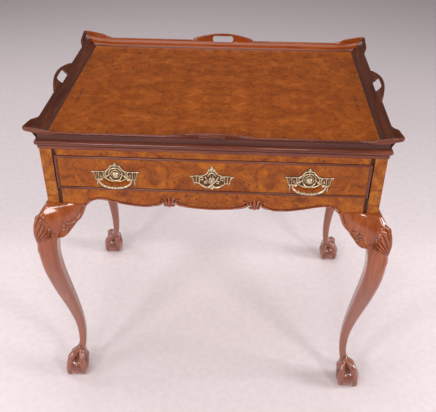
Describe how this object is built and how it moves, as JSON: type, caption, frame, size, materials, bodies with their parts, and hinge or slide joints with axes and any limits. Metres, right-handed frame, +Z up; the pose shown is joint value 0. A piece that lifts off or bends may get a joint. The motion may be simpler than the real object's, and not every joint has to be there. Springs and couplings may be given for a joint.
{
  "type": "tray top tea table",
  "caption": "Rectangular tea table with a flared tray gallery pierced for hand grips, a frieze drawer with swing handles, shaped aprons and cabriole legs on claw-and-ball feet.",
  "frame": {"origin": "on the floor under the middle of the table", "axes": "+X along the width, drawer faces -Y, +Z up"},
  "size_m": [0.7512, 0.5672, 0.7098],
  "materials": {
    "polished_walnut": "gloss polish on solid walnut",
    "burr_walnut_veneer": "gloss polish on burr walnut veneer",
    "plain_oak": "plain planed secondary wood",
    "aged_brass": "cast brass, aged and rubbed bright on the high points",
    "steel": "plain steel"
  },
  "bodies": {
    "table": {"leg_front_left": "polished_walnut", "leg_front_right": "polished_walnut", "leg_back_left": "polished_walnut", "leg_back_right": "polished_walnut", "post_facing_front_left": "burr_walnut_veneer", "post_facing_front_right": "burr_walnut_veneer", "post_facing_back_left": "burr_walnut_veneer", "post_facing_back_right": "burr_walnut_veneer", "front_knee_block_left": "polished_walnut", "front_knee_block_right": "polished_walnut", "back_knee_block_left": "polished_walnut", "back_knee_block_right": "polished_walnut", "left_knee_block_front": "polished_walnut", "left_knee_block_back": "polished_walnut", "right_knee_block_front": "polished_walnut", "right_knee_block_back": "polished_walnut", "front_top_rail": "burr_walnut_veneer", "front_apron": "burr_walnut_veneer", "side_panel_left": "burr_walnut_veneer", "side_panel_right": "burr_walnut_veneer", "back_panel": "polished_walnut", "apron_edge_front": "polished_walnut", "apron_edge_back": "polished_walnut", "apron_edge_left": "polished_walnut", "apron_edge_right": "polished_walnut", "apron_carvings": "polished_walnut", "top_board": "plain_oak", "tray_panel": "burr_walnut_veneer", "gallery_front": "polished_walnut", "gallery_back": "polished_walnut", "gallery_left": "polished_walnut", "gallery_right": "polished_walnut", "base_bead_front": "polished_walnut", "base_bead_back": "polished_walnut", "base_bead_left": "polished_walnut", "base_bead_right": "polished_walnut", "drawer_runners": "plain_oak", "drawer_guides": "plain_oak", "drawer_kickers": "plain_oak", "glue_and_stop_blocks": "plain_oak", "top_screws": "steel"},
    "drawer": {"drawer_front": "burr_walnut_veneer", "cock_bead_top": "polished_walnut", "cock_bead_bottom": "polished_walnut", "cock_bead_left": "polished_walnut", "cock_bead_right": "polished_walnut", "drawer_side_left": "plain_oak", "drawer_side_right": "plain_oak", "drawer_back": "plain_oak", "drawer_bottom": "plain_oak", "handle_plate_left": "aged_brass", "handle_plate_right": "aged_brass", "handle_posts": "aged_brass", "handle_nuts": "aged_brass", "escutcheon": "aged_brass", "brass_pins_and_screws": "aged_brass", "lock_case": "aged_brass"},
    "left_bail": {"bail_left": "aged_brass"},
    "right_bail": {"bail_right": "aged_brass"},
    "lock_bolt_body": {"lock_bolt": "steel"}
  },
  "joints": [
    {"name": "drawer_slide", "type": "slide", "parent": "table", "child": "drawer", "axis": [0, -1, 0], "range_m": [0, 0.33]},
    {"name": "left_bail_hinge", "type": "hinge", "parent": "drawer", "child": "left_bail", "pos_m": [-0.195, -0.2602, 0.591], "axis": [-1, 0, 0], "range_deg": [-10, 95]},
    {"name": "right_bail_hinge", "type": "hinge", "parent": "drawer", "child": "right_bail", "pos_m": [0.195, -0.2602, 0.591], "axis": [-1, 0, 0], "range_deg": [-10, 95]},
    {"name": "lock_bolt_slide", "type": "slide", "parent": "drawer", "child": "lock_bolt_body", "axis": [0, 0, 1], "range_m": [0, 0.0065]}
  ]
}
